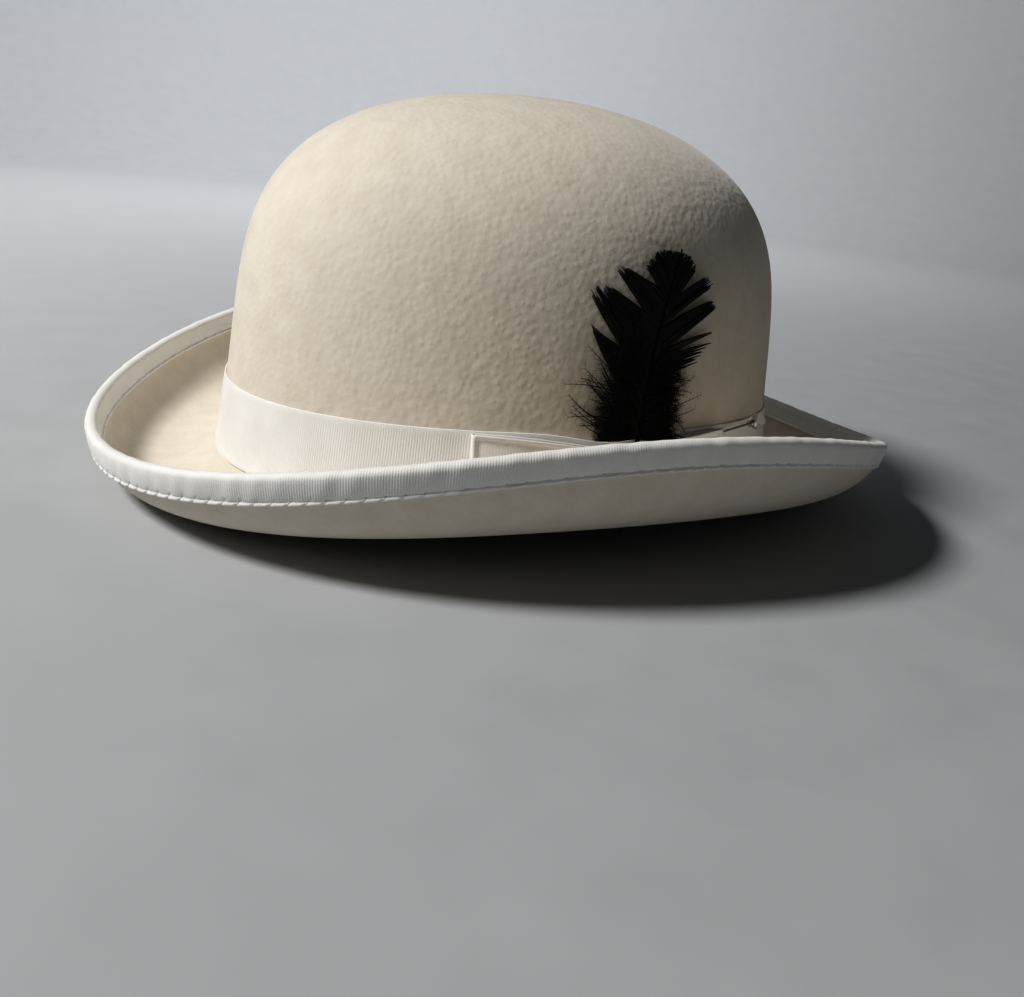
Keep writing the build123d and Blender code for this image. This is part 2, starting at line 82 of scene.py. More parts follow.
BOW_CENTRE = -5.0
WING_LENGTH = 42.0
WING_ROOT = 3.2
WING_ROOT_FACE = 3.7  # depth of the wing's face at the knot, and how it swells and then falls to its end
WING_SWELL = 1.0
WING_END_DROP = 0.8
WING_ROOT_LOW = 5.2  # lower and upper border at the knot, and how far each spreads by the end
WING_ROOT_HIGH = 19.6
WING_SPREAD_DOWN = 3.6
WING_SPREAD_UP = 4.0
FRONT_WING_BACKS = (1.0, 1.0)  # depth behind the wing at its root and at its end
REAR_WING_BACKS = (2.7, 2.3)  # deeper, to leave room for the pin
KNOT_HALF_LENGTH = 4.6
KNOT_LOW = 2.6
KNOT_HIGH = 20.4
KNOT_FACE = 4.9
KNOT_CORNER = 2.0
TACK_ANGLES = (165, 200, 240, 280, 320)
SWEATBAND_STITCH_HEIGHT = 3.4
SWEATBAND_STITCH_PITCH = 4.2
SWEATBAND_STITCH_LENGTH = 2.4
INNER_BOW_HEIGHT = 9.1
RIB_PITCH = 0.8  # grosgrain ribs of the hatband and the bow
BINDING_RIB_PITCH = 0.72
RIBS_TO_STITCH = 7
SAMPLES_TO_RIB = 4
FEATHER_CURVE = 115.0
QUILL_LENGTH = 72.0
QUILL_RADIUS = (0.8, 0.25)
QUILL_LEAN = 3.8
QUILL_LEAN_LENGTH = 50.0
QUILL_FOOT = (0.6, 7.0)  # places on the crown's side, as Y and height: the foot, and a point that it aims at
QUILL_AIM = (4.1, 23.0)
FEATHER_MIDDLE = (10.0, 45.0)  # the feather lies parallel to the crown here
BREAK_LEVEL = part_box("felt_body")[1].z / MM - CROWN_HEIGHT


# ---- the surfaces that every layer follows; angle 0 is the front and 90 degrees the wearer's left
def front_to_side(angle, pair):
    middle, change = pair
    return middle + change * np.cos(2 * angle)


def crown_share(height):
    inside = np.clip(height / CROWN_HEIGHT, 0, 1)
    dome = np.clip(1 - inside**CROWN_SIDE_POWER, 0, 1) ** (1 / CROWN_PLAN_POWER)
    spread = CROWN_FLARE * np.clip(1 - height / CROWN_FLARE_HEIGHT, 0, None) ** 2
    return dome * (1 + spread)


def crown_outside(angle, height):
    share = crown_share(height)
    rise = -BREAK_RISE * np.cos(2 * angle) * (1 - height / CROWN_HEIGHT)
    x = CROWN_HALF_WIDTH * share * np.sin(angle)
    y = -CROWN_HALF_LENGTH * share * np.cos(angle)
    return np.stack([x, y, BREAK_LEVEL + height + rise], -1)


def unit(vectors):
    return vectors / np.linalg.norm(vectors, axis=-1, keepdims=True)


def crown_normal(angle, height):
    """Gradient of the oval whose size falls with height."""
    safe = np.clip(height, -5, CROWN_HEIGHT * 0.99999)
    step = 1e-4
    lean = (crown_share(safe - step) - crown_share(safe + step)) / (2 * step)
    share = crown_share(safe)
    x = np.sin(angle) / CROWN_HALF_WIDTH
    y = -np.cos(angle) / CROWN_HALF_LENGTH
    scale = np.ones_like(x * share)
    return unit(np.stack([x * scale, y * scale, lean * scale], -1))


def unevenness(angle, height):
    """Hand-blocked felt is never quite true; every layer on the crown follows the same slow waves."""
    waves = 0.16 * np.sin(3 * angle + 0.035 * height) + 0.10 * np.sin(7 * angle - 0.05 * height + 1.3)
    calm = np.clip(1 - height / CROWN_HEIGHT, 0, 1) ** 0.5
    return waves * calm


def crown_point(angle, height, outwards):
    angle, height, outwards = np.broadcast_arrays(angle, height, outwards)
    depth = outwards + unevenness(angle, height)
    return crown_outside(angle, height) + crown_normal(angle, height) * depth[..., None]


def brim_outwards(angle):
    x = CROWN_HALF_LENGTH * np.sin(angle)
    y = -CROWN_HALF_WIDTH * np.cos(angle)
    return unit(np.stack([x, y, 0 * x], -1))


def brim_width(angle):
    """Width of the felt as far as the middle of its rounded edge."""
    return front_to_side(angle, BRIM_WIDTH) - BRIM_EDGE


def brim_slope(angle, felt_share):
    share = felt_share * brim_width(angle) / front_to_side(angle, BRIM_WIDTH)
    start = front_to_side(angle, BRIM_START_SLOPE)
    end = front_to_side(angle, BRIM_END_SLOPE)
    return np.radians(start + (end - start) * share ** front_to_side(angle, BRIM_CURL_POWER))


def brim_point(angle, share, upwards):
    """Point on the brim at a share of its width, 0 at the crown and 1 at the edge."""
    angle, share, upwards = np.broadcast_arrays(angle, share, upwards)
    steps = (np.arange(CURL_STEPS) + 0.5) / CURL_STEPS
    slopes = brim_slope(angle[..., None], share[..., None] * steps)
    length = brim_width(angle) * share / CURL_STEPS
    reach = length * np.cos(slopes).sum(-1)
    rise = length * np.sin(slopes).sum(-1)
    face = crown_point(angle, 0.0 * angle, 0.0) + brim_outwards(angle) * reach[..., None]
    face[..., 2] += rise
    wave = 0.35 * share**2 * np.sin(5 * angle + 0.6)
    return face + brim_normal(angle, share) * (upwards + wave)[..., None]


def brim_normal(angle, share):
    slope = brim_slope(angle, share)
    up = np.stack([0 * slope, 0 * slope, np.cos(slope)], -1)
    return up - brim_outwards(angle) * np.sin(slope)[..., None]


def edge_point(angle, radius, turn):
    """Rounded edge of the brim: turn 0 is the top face and pi the underside."""
    angle, radius, turn = np.broadcast_arrays(angle, radius, turn)
    ones = np.ones_like(angle)
    middle = brim_point(angle, ones, -FELT / 2)
    slope = brim_slope(angle, ones)
    along = brim_outwards(angle) * np.cos(slope)[..., None]
    along[..., 2] += np.sin(slope)
    sideways = brim_normal(angle, ones) * np.cos(turn)[..., None] + along * np.sin(turn)[..., None]
    return middle + sideways * radius[..., None]


def side_angle(place, height):
    """Angle on the wearer's left where the crown's outside has the given Y."""
    return np.arccos(-place / (CROWN_HALF_LENGTH * crown_share(height)))


def side_point(place, height, outwards):
    place, height, outwards = np.broadcast_arrays(place, height, outwards)
    return crown_point(side_angle(place, height), height, outwards)


def travel_along(points):
    """Distance from the first point to each point of a line."""
    return np.concatenate([[0], np.cumsum(np.linalg.norm(np.diff(points, axis=0), axis=1))])


def even_angles(count, place):
    """Angles once round the hat whose points are evenly spaced along the curve place(angle)."""
    fine = np.linspace(0, 2 * math.pi, 2001)
    travelled = travel_along(place(fine))
    return np.interp(np.arange(count) / count * travelled[-1], travelled, fine)


def girth(place):
    return travel_along(place(np.linspace(0, 2 * math.pi, 2001)))[-1]


def ring_angles(count):
    """Evenly spaced angles once round, as one row."""
    return np.linspace(0, 2 * math.pi, count, endpoint=False)[None]


def bump_at(values, middle, width):
    """Smooth bump of height 1 about a middle value."""
    return np.exp(-(((values - middle) / width) ** 2))


# ---- mesh makers
def make_piece(name, points, faces, body, node, finish):
    """A mesh object in metres that rides on a body and stands for a CAD node."""
    mesh = bpy.data.meshes.new(name)
    mesh.from_pydata((np.asarray(points).reshape(-1, 3) * MM).tolist(), [], faces)
    mesh.validate()
    mesh.update()
    piece = bpy.data.objects.new(name, mesh)
    bpy.context.scene.collection.objects.link(piece)
    mesh.materials.append(finish)
    mesh.shade_smooth()
    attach(piece, body)
    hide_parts(node)


def grid_faces(rows, columns, close_rows, close_columns, first=0):
    """Quads of a grid of points, with its rows or columns joined into rings when asked."""
    row_pairs = [(i, (i + 1) % rows) for i in range(rows if close_rows else rows - 1)]
    column_pairs = [(j, (j + 1) % columns) for j in range(columns if close_columns else columns - 1)]
    return [
        (first + a * columns + c, first + a * columns + d, first + b * columns + d, first + b * columns + c)
        for a, b in row_pairs
        for c, d in column_pairs
    ]


def hoop(grid):
    """A closed section carried once round the hat: every row and column is a ring."""
    rows, columns = grid.shape[:2]
    return grid, grid_faces(rows, columns, True, True)


def shell_faces(rows, columns):
    """Rings closed at both ends by a point; the two end points follow the points of the rings."""
    faces = grid_faces(rows, columns, False, True)
    end = rows * columns
    last = end - columns
    faces += [(end, (i + 1) % columns, i) for i in range(columns)]
    faces += [(end + 1, last + i, last + (i + 1) % columns) for i in range(columns)]
    return [tuple(reversed(face)) for face in faces]


def joined(meshes):
    """One mesh, as points and faces, from several."""
    points = []
    faces = []
    first = 0
    for some_points, some_faces in meshes:
        points.append(some_points.reshape(-1, 3))
        faces += [tuple(first + i for i in face) for face in some_faces]
        first += len(points[-1])
    return np.concatenate(points), faces


def grid_normals(grid):
    down = np.gradient(grid, axis=0)
    across = np.gradient(grid, axis=1)
    return unit(np.cross(across, down))


def thick_sheet(grid, thickness):
    """Closed sheet of even thickness on either side of a grid of points."""
    rows, columns = grid.shape[:2]
    offset = grid_normals(grid) * (thickness / 2)
    count = rows * columns
    faces = grid_faces(rows, columns, False, False)
    far = [tuple(count + i for i in reversed(face)) for face in faces]
    border = list(range(columns))
    border += [i * columns + columns - 1 for i in range(1, rows)]
    border += [(rows - 1) * columns + i for i in range(columns - 2, -1, -1)]
    border += [i * columns for i in range(rows - 2, 0, -1)]
    walls = [(b, a, a + count, b + count) for a, b in zip(border, border[1:] + border[:1])]
    points = np.stack([grid + offset, grid - offset]).reshape(-1, 3)
    return points, faces + far + walls


def rod_faces(rods, steps, sides):
    """Faces of many rods with closed ends, each a row of rings with that many sides."""
    faces = []
    for rod in range(rods):
        first = rod * steps * sides
        last = first + (steps - 1) * sides
        faces += grid_faces(steps, sides, False, True, first)
        faces.append(tuple(first + i for i in reversed(range(sides))))
        faces.append(tuple(last + i for i in range(sides)))
    return faces


def tubes(paths, radii, sides=6):
    """Round threads along paths, an array of shape (threads, points, 3), with closed ends."""
    threads, count = paths.shape[:2]
    forwards = unit(np.gradient(paths, axis=1))
    helper = np.where(np.abs(forwards[..., 2:3]) > 0.9, [1.0, 0, 0], [0, 0, 1.0])
    side = unit(np.cross(forwards, helper))
    other = np.cross(forwards, side)
    turns = 2 * math.pi * np.arange(sides) / sides
    radii = np.broadcast_to(radii, (threads, count))
    ring = side[..., None, :] * np.cos(turns)[:, None] + other[..., None, :] * np.sin(turns)[:, None]
    return paths[..., None, :] + ring * radii[..., None, None], rod_faces(threads, count, sides)


def ribbon_section(rows, cap=5):
    """Once round the section of a ribbon: share of its height, share of its depth from back to face, and how
    far its rounded borders bulge up or down."""
    face = np.linspace(0, 1, rows)
    turn = np.linspace(0, math.pi, cap + 2)[1:-1]
    over = 0.5 + 0.5 * np.cos(turn)
    back = 0.5 - 0.5 * np.cos(turn)
    height = np.concatenate([face, np.ones(cap), face[::-1], np.zeros(cap)])
    depth = np.concatenate([np.ones(rows), over, np.zeros(rows), back])
    bulge = np.concatenate([np.zeros(rows), np.sin(turn), np.zeros(rows), -np.sin(turn)])
    return height[:, None], depth[:, None], bulge[:, None]


def rib_wave(count):
    """Height of the ribs, 0 to 1, at each column of a ribbon."""
    return 0.5 + 0.5 * np.cos(2 * math.pi * np.arange(count) / SAMPLES_TO_RIB)


# ---- materials
def material(name, roughness, sheen=0.0):
    made = bpy.data.materials.new(name)
    made.use_nodes = True
    shader = made.node_tree.nodes["Principled BSDF"]
    shader.inputs["Roughness"].default_value = roughness
    shader.inputs["Sheen Weight"].default_value = sheen
    shader.inputs["Sheen Roughness"].default_value = 0.5
    return made, made.node_tree.nodes, made.node_tree.links, shader


def noise(nodes, links, scale, detail=3.0, stretch=(1, 1, 1)):
    """Noise in the object's own space, so that it stays with the piece; scale is in features per metre."""
    place = nodes.new("ShaderNodeTexCoord")
    mapping = nodes.new("ShaderNodeMapping")
    mapping.inputs["Scale"].default_value = stretch
    texture = nodes.new("ShaderNodeTexNoise")
    texture.inputs["Scale"].default_value = scale
    texture.inputs["Detail"].default_value = detail
    links.new(place.outputs["Object"], mapping.inputs["Vector"])
    links.new(mapping.outputs["Vector"], texture.inputs["Vector"])
    return texture.outputs["Fac"]


def spread(nodes, links, value, low, high, out_low, out_high):
    """Value remapped from one range to another."""
    remap = nodes.new("ShaderNodeMapRange")
    remap.inputs["From Min"].default_value = low
    remap.inputs["From Max"].default_value = high
    remap.inputs["To Min"].default_value = out_low
    remap.inputs["To Max"].default_value = out_high
    links.new(value, remap.inputs["Value"])
    return remap.outputs["Result"]


def mix_colours(nodes, links, shader, share, first, second):
    """The shader's colour: the first where the share is 0 and the second where it is 1."""
    shader.inputs["Base Color"].default_value = (*first, 1)
    mix = nodes.new("ShaderNodeMix")
    mix.data_type = "RGBA"
    links.new(share, mix.inputs["Factor"])
    mix.inputs["A"].default_value = (*first, 1)
    mix.inputs["B"].default_value = (*second, 1)
    links.new(mix.outputs["Result"], shader.inputs["Base Color"])


def bumps(nodes, links, shader, layers):
    """Bumps stacked on the shader's normal; each layer is (height, depth in millimetres)."""
    previous = None
    for value, depth in layers:
        bump = nodes.new("ShaderNodeBump")
        bump.inputs["Distance"].default_value = depth * MM
        links.new(value, bump.inputs["Height"])
        if previous is not None:
            links.new(previous, bump.inputs["Normal"])
        previous = bump.outputs["Normal"]
    links.new(previous, shader.inputs["Normal"])


def pebbles(nodes, links, scale):
    """Soft round pebbles in the object's own space; the value falls towards the middle of each."""
    place = nodes.new("ShaderNodeTexCoord")
    cells = nodes.new("ShaderNodeTexVoronoi")
    cells.feature = "SMOOTH_F1"
    cells.inputs["Scale"].default_value = scale
    cells.inputs["Smoothness"].default_value = 1.0
    links.new(place.outputs["Object"], cells.inputs["Vector"])
    return cells.outputs["Distance"]


def felt_material():
    """Blocked wool felt: matt, softly mottled, with a nap of short fibres."""
    made, nodes, links, shader = material("wool_felt", 0.95, sheen=0.25)
    mottle = spread(nodes, links, noise(nodes, links, 120, 4), 0.35, 0.65, 0, 1)
    mix_colours(nodes, links, shader, mottle, (0.672, 0.607, 0.503), (0.717, 0.656, 0.553))
    slow = noise(nodes, links, 190, 0)
    fibres = noise(nodes, links, 1500, 2)
    bumps(nodes, links, shader, [(slow, 0.12), (pebbles(nodes, links, 520), -0.17), (fibres, 0.045)])
    return made


def grosgrain_material(name, light, shade):
    """Ribbed ribbon: the ribs are real, and the fine cross weave between them is a bump."""
    made, nodes, links, shader = material(name, 0.62, sheen=0.25)
    wear = spread(nodes, links, noise(nodes, links, 90, 3), 0.35, 0.7, 0, 1)
    mix_colours(nodes, links, shader, wear, light, shade)
    weave = noise(nodes, links, 1500, 2, stretch=(1, 1, 4))
    bumps(nodes, links, shader, [(weave, 0.08)])
    return made


def thread_material():
    """Matt sewing thread with painted shade: its colour is darker in the hollows between its strands."""
    made, nodes, links, shader = material("thread", 0.6, sheen=0.2)
    twist_and_painted_shade = noise(nodes, links, 3000, 1)
    # painted shade: the colour darkens where the twist's bump is low, in the hollows between the strands
    mix_colours(nodes, links, shader, twist_and_painted_shade, (0.70, 0.68, 0.62), (0.86, 0.85, 0.82))
    bumps(nodes, links, shader, [(twist_and_painted_shade, 0.1)])
    return made


def leather_material():
    """Tan hat leather with a fine pebble grain; it is darker and glossier in worn patches."""
    made, nodes, links, shader = material("hat_leather", 0.42)
    wear = spread(nodes, links, noise(nodes, links, 35, 4), 0.35, 0.7, 0, 1)
    mix_colours(nodes, links, shader, wear, (0.43, 0.26, 0.14), (0.30, 0.165, 0.085))
    links.new(spread(nodes, links, wear, 0, 1, 0.5, 0.36), shader.inputs["Roughness"])
    cells = nodes.new("ShaderNodeTexVoronoi")
    cells.inputs["Scale"].default_value = 1400
    place = nodes.new("ShaderNodeTexCoord")
    links.new(place.outputs["Object"], cells.inputs["Vector"])
    bumps(nodes, links, shader, [(cells.outputs["Distance"], 0.12), (noise(nodes, links, 260, 3), 0.3)])
    return made


def satin_material():
    """Glossy lining with a fine weave."""
    made, nodes, links, shader = material("lining_satin", 0.3, sheen=0.4)
    shader.inputs["Anisotropic"].default_value = 0.6
    shade = spread(nodes, links, noise(nodes, links, 60, 3), 0.3, 0.7, 0, 1)
    mix_colours(nodes, links, shader, shade, (0.80, 0.74, 0.62), (0.72, 0.65, 0.52))
    weave = noise(nodes, links, 2600, 2, stretch=(1, 1, 5))
    bumps(nodes, links, shader, [(weave, 0.04)])
    return made


def plain_material(name, first, second, roughness, grain, depth, metallic=0.0, gloss=0.5):
    """Two-tone material with a fine grain, for the small pieces."""
    made, nodes, links, shader = material(name, roughness)
    shader.inputs["Specular IOR Level"].default_value = gloss
    shader.inputs["Metallic"].default_value = metallic
    value = noise(nodes, links, grain, 3)
    mix_colours(nodes, links, shader, spread(nodes, links, value, 0.3, 0.7, 0, 1), first, second)
    uneven = spread(nodes, links, value, 0.3, 0.7, roughness * 0.8, roughness * 1.2)
    links.new(uneven, shader.inputs["Roughness"])
    bumps(nodes, links, shader, [(value, depth)])
    return made


def steel_material(name, first, second, roughness):
    return plain_material(name, first, second, roughness, grain=2000, depth=0.01, metallic=1)


def feather_material():
    """Dyed black barbs with a faint cool sheen."""
    made, nodes, links, shader = material("black_feather", 0.6)
    shader.inputs["Specular IOR Level"].default_value = 0.25
    streaks = noise(nodes, links, 700, 3)
    mix_colours(nodes, links, shader, streaks, (0.002, 0.002, 0.003), (0.008, 0.007, 0.008))
    links.new(spread(nodes, links, streaks, 0.3, 0.7, 0.5, 0.75), shader.inputs["Roughness"])
    return made


def glass_material():
    """Clear ball with a trace of swirl inside the glass."""
    made, nodes, links, shader = material("clear_glass", 0.02)
    shader.inputs["Transmission Weight"].default_value = 1
    shader.inputs["IOR"].default_value = 1.52
    swirl = noise(nodes, links, 300, 2)
    mix_colours(nodes, links, shader, swirl, (0.93, 0.96, 0.97), (1, 1, 1))
    bumps(nodes, links, shader, [(swirl, 0.02)])
    return made


# ---- felt body
def dome_heights(count):
    """Heights from the break to just under the top, evenly spaced along the outline."""
    fine = CROWN_HEIGHT * np.sin(np.linspace(0, math.pi / 2, 4001)) ** (2 / CROWN_SIDE_POWER)
    travelled = travel_along(np.stack([CROWN_HALF_LENGTH * crown_share(fine), fine], -1))
    return np.interp(np.linspace(0, 1, count + 1)[:-1] * travelled[-1], travelled, fine)


def felt_body(finish):
    """Crown and brim in one shell: down the outside, round the brim's edge, and back up the inside."""
    columns = 360
    angle = ring_angles(columns)
    heights = dome_heights(96)[:, None]
    outer = crown_point(angle, heights[::-1], 0.0)
    shares = np.linspace(0, 1, 36)[1:-1, None]
    top = brim_point(angle, shares, 0.0)
    edge = edge_point(angle, FELT / 2, np.linspace(0, math.pi, 9)[:, None])
    under = brim_point(angle, shares[::-1], -FELT)
    inner = crown_point(angle, heights[2:], -FELT)
    wall = crown_normal(angle, 0 * angle)
    flat = brim_normal(angle, 0 * angle)
    mitre = FELT / (1 + (wall * flat).sum(-1, keepdims=True))
    corner = crown_point(angle, 0.0, 0.0) - (wall + flat) * mitre
    grid = np.concatenate([outer, top, edge, under, corner, inner])
    peak = BREAK_LEVEL + CROWN_HEIGHT
    points = np.concatenate([grid.reshape(-1, 3), [[0, 0, peak], [0, 0, peak - FELT]]])
    make_piece("felt_hat_body", points, shell_faces(len(grid), columns), "hat", "felt_body", finish)


# ---- brim binding
def binding_surface(angle, travel, depth):
    """Point on the folded ribbon: travel is -1 at its edge on the top face, 0 on the rim and 1 underneath."""
    angle, travel, depth = np.broadcast_arrays(angle, travel, depth)
    half_turn = BRIM_EDGE * math.pi / 2
    flat = BINDING_WIDTH - BRIM_EDGE
    on_rim = half_turn / (half_turn + flat)
    inwards = np.clip((np.abs(travel) - on_rim) / (1 - on_rim), 0, None) * flat
    share = 1 - inwards / brim_width(angle)
    top = brim_point(angle, share, depth)
    under = brim_point(angle, share, -FELT - depth)
    turn = (np.clip(travel / on_rim, -1, 1) + 1) * math.pi / 2
    rim = edge_point(angle, FELT / 2 + depth, turn)
    faces = np.where((travel < 0)[..., None], top, under)
    return np.where((np.abs(travel) < on_rim)[..., None], rim, faces)


def rim_line(angle):
    return edge_point(angle, FELT / 2 + RIBBON, math.pi / 2 + 0 * angle)


RIM_STITCHES = round(girth(rim_line) / BINDING_RIB_PITCH / RIBS_TO_STITCH)


def brim_binding(finish):
    """Ribbed ribbon folded over the rim; its edges stand up in a row of beads, drawn in at every stitch."""
    to_stitch = RIBS_TO_STITCH * SAMPLES_TO_RIB
    count = RIM_STITCHES * to_stitch
    angle = even_angles(count, rim_line)[None]
    phase = np.arange(count)[None] / to_stitch % 1
    side = np.concatenate([np.linspace(1, 0.8, 9), np.linspace(0.74, 0.4, 6)])
    travel = np.concatenate([-side, np.linspace(-0.3, 0.3, 11), side[::-1]])[:, None]
    off_rim = np.abs(travel)
    bead_half_width = 0.055
    bead_middle = 1 - bead_half_width
    slanted = (phase + 2.4 * (off_rim - bead_middle)) % 1
    at_stitch = bump_at(np.minimum(slanted, 1 - slanted), 0, 0.13)
    bead = np.clip(1 - ((off_rim - bead_middle) / bead_half_width) ** 2, 0, 1) ** 0.5
    plump = 1 - 0.62 * at_stitch
    dimple = bump_at(off_rim, 0.84, 0.05) * at_stitch
    groove = bump_at(off_rim, 0.87, 0.025)
    ribs = rib_wave(count)[None] * np.clip((0.88 - off_rim) / 0.04, 0, 1)
    lumps = sum(np.sin(waves * angle + 3 * travel + waves) for waves in (41, 73, 97, 131)) / 4
    depth = GAP + RIBBON + 0.50 * bead * plump + 0.08 * ribs - 0.16 * dimple - 0.08 * groove
    face = binding_surface(angle, travel * (1 - 0.014 * at_stitch), depth + 0.14 * lumps * (1 - bead))
    back = binding_surface(angle, np.linspace(1, -1, 19)[:, None], GAP + 0 * ribs[:1])
    points, faces = hoop(np.concatenate([face, back]))
    make_piece("brim_binding_ribbon", points, faces, "hat", "brim_binding", finish)


def binding_stitches(finish):
    """One short slanting thread where the binding is drawn in, on both faces of the brim."""
    middle = even_angles(RIM_STITCHES, rim_line)[:, None]
    reach = np.linspace(-0.5, 0.5, 8)
    slant = 1.5 * 2 * math.pi / RIM_STITCHES / (BINDING_RIB_PITCH * RIBS_TO_STITCH)  # 1.5 mm along the rim
    angle = middle - reach * slant
    travel = 0.925 + 0.13 * reach + 0 * angle
    arch = 0.26 * np.cos(reach * math.pi) ** 0.7 - 0.10 + 0 * angle
    paths = [binding_surface(angle, side * travel, GAP + RIBBON + arch) for side in (-1, 1)]
    points, faces = tubes(np.concatenate(paths), 0.12)
    make_piece("binding_thread_stitches", points, faces, "hat", "binding_stitches", finish)


# ---- hatband
def from_bow(angle):
    """Distance along the hatband from the middle of the bow."""
    return CROWN_HALF_LENGTH * (angle - side_angle(BOW_CENTRE, BAND_HEIGHT))


def band_top(angle):
    """Height of the hatband's top edge, which the bow pulls down."""
    return BAND_HEIGHT - PINCH_DEPTH * bump_at(from_bow(angle), 0, PINCH_LENGTH)


def band_line(angle):
    return crown_point(angle, 12.0 + 0 * angle, RIBBON)


def hatband(finish):
    """Ribbed ribbon round the crown, with thicker borders, drawn into faint folds near the bow."""
    count = round(girth(band_line) / RIB_PITCH) * SAMPLES_TO_RIB
    angle = even_angles(count, band_line)[None]
    height, depth, bulge = ribbon_section(16)
    top = band_top(angle)
    place = BAND_FOOT + height * (top - BAND_FOOT) + bulge * RIBBON / 2
    edge = np.clip(np.minimum(height, 1 - height) / 0.04, 0, 1)
    selvedge = 0.10 * (1 - edge) * depth
    gathers = 0.07 * bump_at(from_bow(angle), 0, 22)
    folds = gathers * (0.5 + 0.5 * np.sin(height * 14 + angle * 9)) * depth
    ribs = 0.11 * rib_wave(count)[None] * edge * depth
    points, faces = hoop(crown_point(angle, place, GAP + RIBBON * depth + ribs + selvedge + folds))
    make_piece("hatband_ribbon", points, faces, "hat", "hatband", finish)


def band_tacks(finish):
    """Small upright stitches at the hatband's top edge."""
    angles = np.radians(TACK_ANGLES)[:, None]
    reach = np.linspace(0, 1, 8)
    below_edge = 2.2
    length = 2.6
    heights = BAND_HEIGHT - below_edge + length * reach + 0 * angles
    arch = np.sin(reach * math.pi) * 0.3 + 0 * angles
    points, faces = tubes(crown_point(angles, heights, GAP + RIBBON + arch), 0.16)
    make_piece("band_tack_threads", points, faces, "hat", "band_tacks", finish)


# ---- side bow
def wing_path(backs, face_depth, count):
    """Distance from the knot and depth along a flattened loop: out on the face, round the fold and back.

    The last array is the share of the face's relief, 1 on the face and 0 behind."""
    end_back = backs[1] + RIBBON / 2
    fold = (face_depth(1.0) - end_back) / 2
    out = np.linspace(WING_ROOT, WING_LENGTH - fold, count)
    share = (out - WING_ROOT) / (WING_LENGTH - WING_ROOT)
    behind = backs[0] + RIBBON / 2 + (backs[1] - backs[0]) * share
    turn = np.linspace(0, math.pi, 11)[1:-1]
    distance = np.concatenate([out, WING_LENGTH - fold + fold * np.sin(turn) ** 0.75, out[::-1]])
    round_fold = end_back + fold * (1 + np.cos(turn))
    depth = np.concatenate([face_depth(share), round_fold, behind[::-1]])
    on_face = np.concatenate([np.ones(count), 0.5 + 0.5 * np.cos(turn), np.zeros(count)])
    return distance, depth, on_face


def bow_wing(name, node, direction, backs, finish):
    """Loop of ribbon: pleats run out of the knot, its borders roll up, and the folded end is square."""

    def face_depth(share):
        return WING_ROOT_FACE + WING_SWELL * np.sin(math.pi * share) - WING_END_DROP * share**2

    columns = round((WING_LENGTH - WING_ROOT) / RIB_PITCH) * SAMPLES_TO_RIB
    distance, face, on_face = wing_path(backs, face_depth, columns)
    share = np.clip((distance - WING_ROOT) / (WING_LENGTH - WING_ROOT), 0, 1)[None]
    opening = np.sin(share * math.pi / 2)
    low = WING_ROOT_LOW - WING_SPREAD_DOWN * opening
    high = WING_ROOT_HIGH + WING_SPREAD_UP * opening
    across = np.linspace(0, 1, 41)[:, None]
    height = low + (high - low) * across
    from_edge = np.minimum(height - low, high - height)
    from_end = (WING_LENGTH - distance)[None]
    open_out = np.clip(share / 0.12, 0, 1)
    border = np.exp(-((from_edge / 1.1) ** 4)) + np.exp(-((from_end / 1.2) ** 4))
    rolled = 0.75 * np.clip(border, 0, 1) * open_out
    pleats = 0.3 * np.cos(across * 6 * math.pi) * np.exp(-share * 8)
    hollow = -0.30 * np.sin(across * math.pi) * np.sin(math.pi * share)
    ribs = 0.055 * rib_wave(distance.size)[None] * np.clip(from_edge, 0, 1)
    outwards = face[None] + on_face[None] * (rolled + hollow + ribs + pleats)
    points = side_point(BOW_CENTRE + direction * distance[None] + 0 * across, height, outwards)
    if direction > 0:
        points = points[::-1]
    points, faces = thick_sheet(points, RIBBON)
    make_piece(name, points, faces, "hat", node, finish)


def bow_knot(finish):
    """Ribbon wrapped over the roots of the wings; its ribs cross it, and one soft pleat runs down it."""
    lip = GAP * 4 + RIBBON * 1.5
    straight = round(17 / RIB_PITCH) * SAMPLES_TO_RIB
    turn = np.linspace(0, math.pi / 2, 8)[1:-1]
    to_turn = KNOT_CORNER * (1 - np.sin(turn))
    turned = KNOT_CORNER * (1 - np.cos(turn))
    middle = np.linspace(KNOT_LOW + KNOT_CORNER, KNOT_HIGH - KNOT_CORNER, straight)
    heights = np.concatenate([
        [KNOT_LOW, KNOT_LOW], KNOT_LOW + turned, middle, KNOT_HIGH - to_turn, [KNOT_HIGH, KNOT_HIGH],
    ])
    depths = np.concatenate([
        [lip, lip + 1.2], KNOT_FACE - to_turn, KNOT_FACE + 0 * middle, KNOT_FACE - turned, [lip + 1.2, lip],
    ])
    across = np.linspace(-1, 1, 21)[:, None]
    round_over = 0.9 * np.abs(across) ** 4
    pleat = 0.35 * bump_at(across, 0.25, 0.16)
    from_middle = (heights - (KNOT_LOW + KNOT_HIGH) / 2) / (KNOT_HIGH - KNOT_LOW)
    waist = 1 - 0.10 * np.cos(from_middle * math.pi)[None]
    ribs = 0.08 * rib_wave(heights.size)[None]
    on_face = np.clip((depths - lip) / (KNOT_FACE - lip), 0, 1)[None]
    outwards = depths[None] + on_face * (ribs - round_over - pleat)
    along = BOW_CENTRE + across * KNOT_HALF_LENGTH * waist
    points = side_point(along, heights[None] + 0 * across, outwards)
    points, faces = thick_sheet(points[::-1], RIBBON)
    make_piece("bow_knot_ribbon", points, faces, "hat", "bow_knot", finish)


